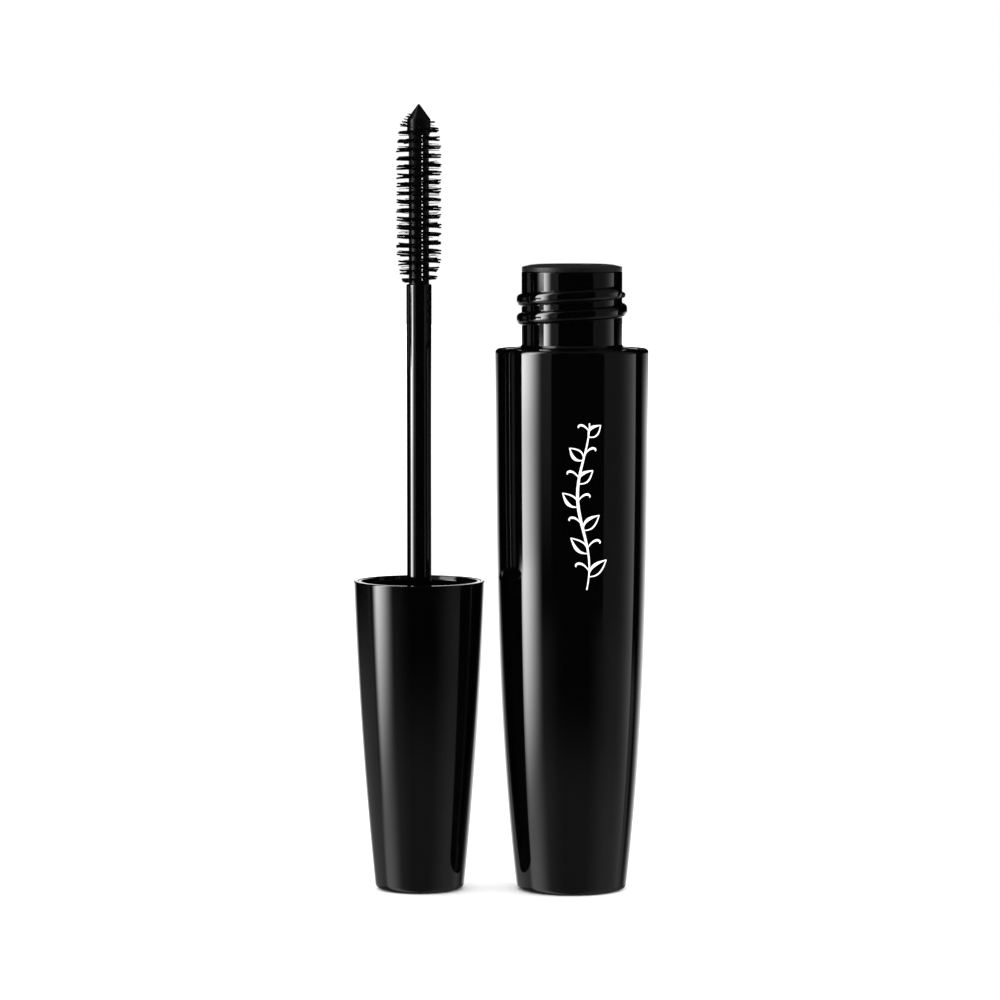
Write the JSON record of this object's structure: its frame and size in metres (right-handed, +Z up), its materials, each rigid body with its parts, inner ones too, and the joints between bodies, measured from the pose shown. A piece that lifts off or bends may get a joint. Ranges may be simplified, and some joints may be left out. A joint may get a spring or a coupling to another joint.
{
  "type": "mascara tube",
  "caption": "Glossy tapered mascara tube, opened: threaded bottle with wiper, and a cap with stem and moulded brush standing beside it",
  "frame": {"origin": "centre of the foot of the bottle, on the surface that it stands on", "axes": "+Z up along the bottle's axis, from the foot to the mouth; the applicator stands at -X; the front of the bottle faces -Y"},
  "size_m": [0.0423, 0.022, 0.1129],
  "materials": {
    "shell_gloss": "piano-black gloss",
    "vial_gloss": "gloss",
    "wiper_matt": "matt",
    "paste": "wet paste",
    "label_paper": "blank satin label",
    "liner_foam": "closed-cell foam",
    "stem_gloss": "gloss",
    "brush_plastic": "satin moulded"
  },
  "bodies": {
    "bottle": {"bottle_shell": "shell_gloss", "inner_vial": "vial_gloss", "wiper": "wiper_matt", "mascara_formula": "paste", "base_label": "label_paper"},
    "liner": {"cap_liner": "liner_foam"},
    "applicator": {"outer_cap": "shell_gloss", "inner_cap": "vial_gloss", "stem": "stem_gloss", "brush": "brush_plastic"}
  },
  "joints": [
    {"name": "applicator_turn_over", "type": "hinge", "parent": "bottle", "child": "liner", "pos_m": [-0.01095, 0, 0.1047], "axis": [0, 1, 0], "range_deg": [0, 180]},
    {"name": "cap_twist", "type": "hinge", "parent": "liner", "child": "applicator", "pos_m": [-0.0219, 0, 0.0325], "axis": [0, 0, 1], "range_deg": [0, 450]}
  ]
}
